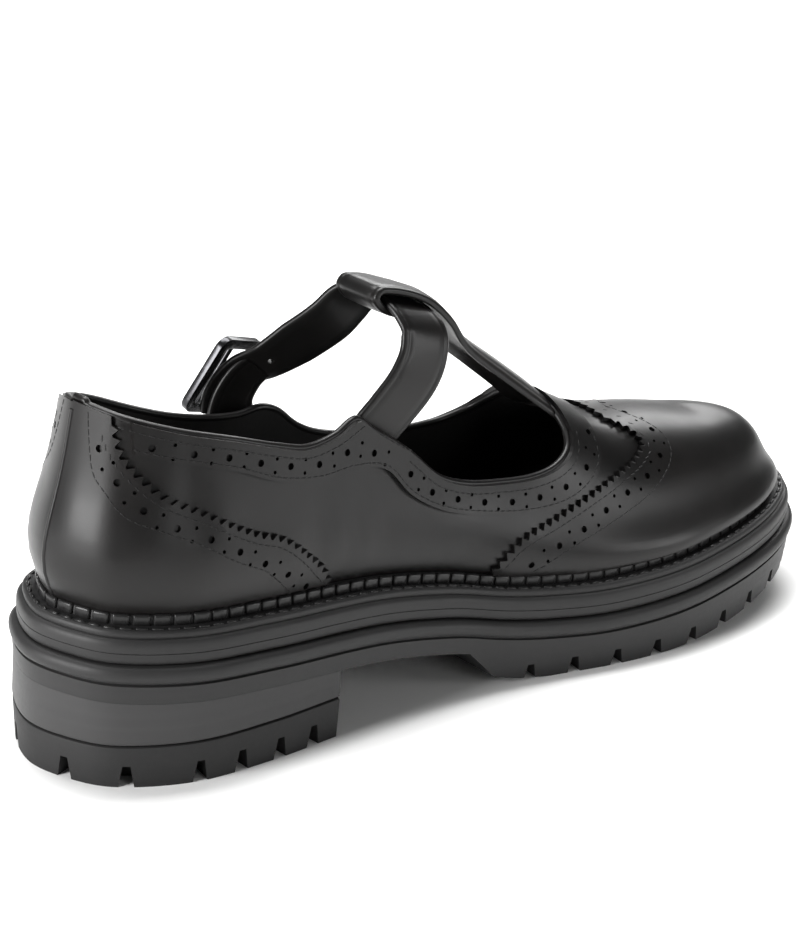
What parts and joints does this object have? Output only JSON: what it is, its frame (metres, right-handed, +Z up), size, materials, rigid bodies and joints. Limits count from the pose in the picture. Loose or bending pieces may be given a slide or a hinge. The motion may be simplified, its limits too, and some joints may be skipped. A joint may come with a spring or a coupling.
{
  "type": "t-bar brogue shoe",
  "caption": "Left T-bar shoe in black leather with a brogued wing cap, pinked overlays, buckled ankle strap and a thick lugged rubber sole with a block heel.",
  "frame": {"origin": "centre of the bounding box's floor, on the ground under the shoe", "axes": "+X towards the toe, +Y towards the outer side, +Z up"},
  "size_m": [0.2898, 0.0958, 0.1251],
  "materials": {
    "rubber": "matte black moulded rubber",
    "leather": "smooth black leather with a soft gloss",
    "lining": "dull black lining leather",
    "metal": "black lacquered metal"
  },
  "bodies": {
    "root": {"outsole": "rubber", "heel_block": "rubber", "heel_tread": "rubber", "midsole": "rubber", "welt": "rubber", "insole": "lining", "upper": "leather", "counter": "leather", "wing_cap": "leather", "throat_band": "leather", "ankle_strap": "leather", "buckle_strap": "leather", "buckle_frame": "metal", "buckle_prong": "metal"}
  },
  "joints": []
}
